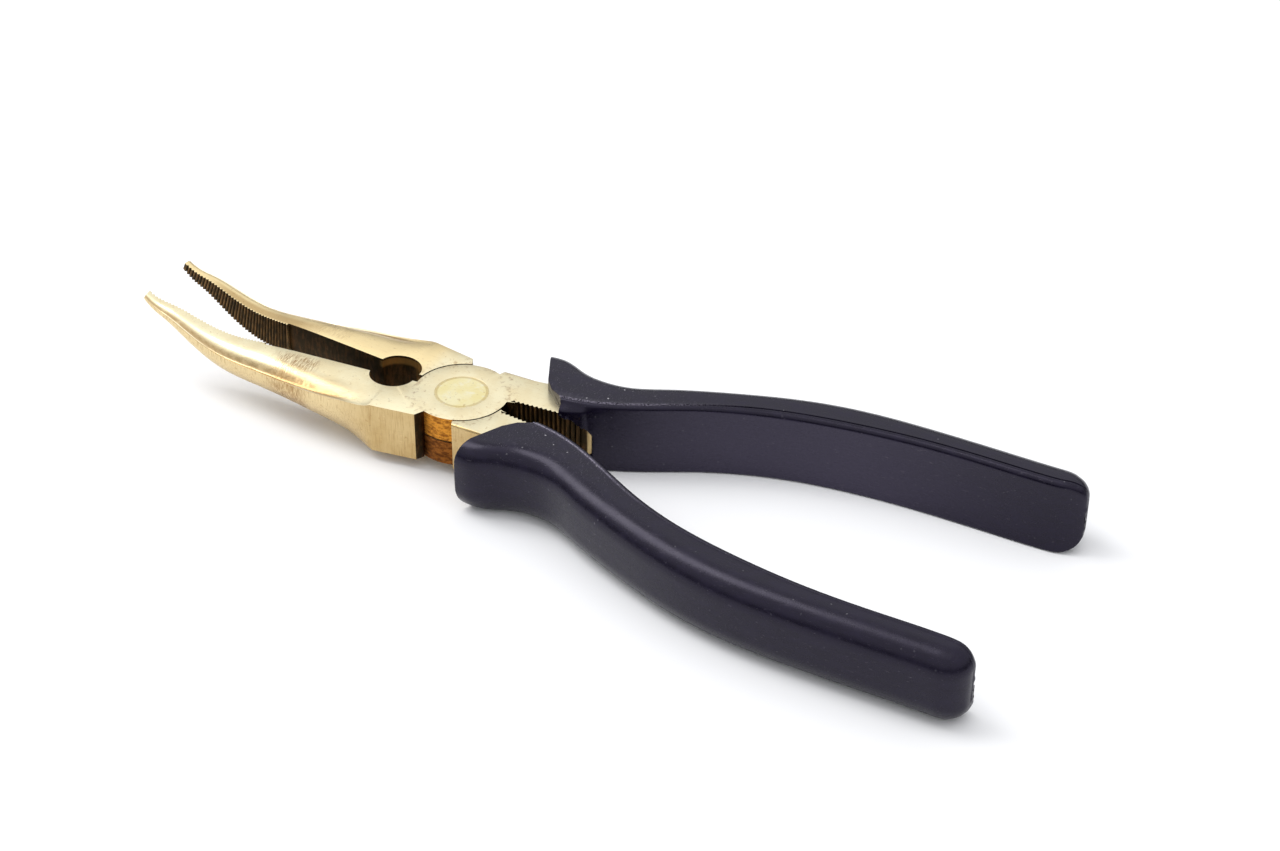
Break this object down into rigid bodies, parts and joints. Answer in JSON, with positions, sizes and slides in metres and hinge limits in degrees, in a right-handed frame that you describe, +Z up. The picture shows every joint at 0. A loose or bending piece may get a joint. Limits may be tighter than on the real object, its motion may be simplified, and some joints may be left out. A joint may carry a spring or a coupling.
{
  "type": "bent needle nose pliers",
  "caption": "Riveted lap-joint pliers with long noses swept up at the tips, an oval pipe grip, serrated tangs and black moulded grips; the levers open and close on one pivot.",
  "frame": {"origin": "centre of the footprint at rest, on the surface that the grips lie on", "axes": "+X towards the jaw tips, +Z up along the pivot axis, +Y towards the upper lever's jaw"},
  "size_m": [0.1954, 0.0672, 0.0189],
  "materials": {
    "head_metal": "satin brushed golden copper alloy with darkened working faces",
    "rivet_metal": "satin, ground flush",
    "grip_pvc": "semi-gloss moulded flexible PVC"
  },
  "bodies": {
    "upper_half": {"upper_lever": "head_metal", "pivot_rivet": "rivet_metal", "upper_lever_grip": "grip_pvc"},
    "lower_half": {"lower_lever": "head_metal", "lower_lever_grip": "grip_pvc"}
  },
  "joints": [
    {"name": "jaw_pivot", "type": "hinge", "parent": "upper_half", "child": "lower_half", "pos_m": [0.02515, 0, 0.008], "axis": [0, 0, -1], "range_deg": [-9.6, 38]}
  ]
}
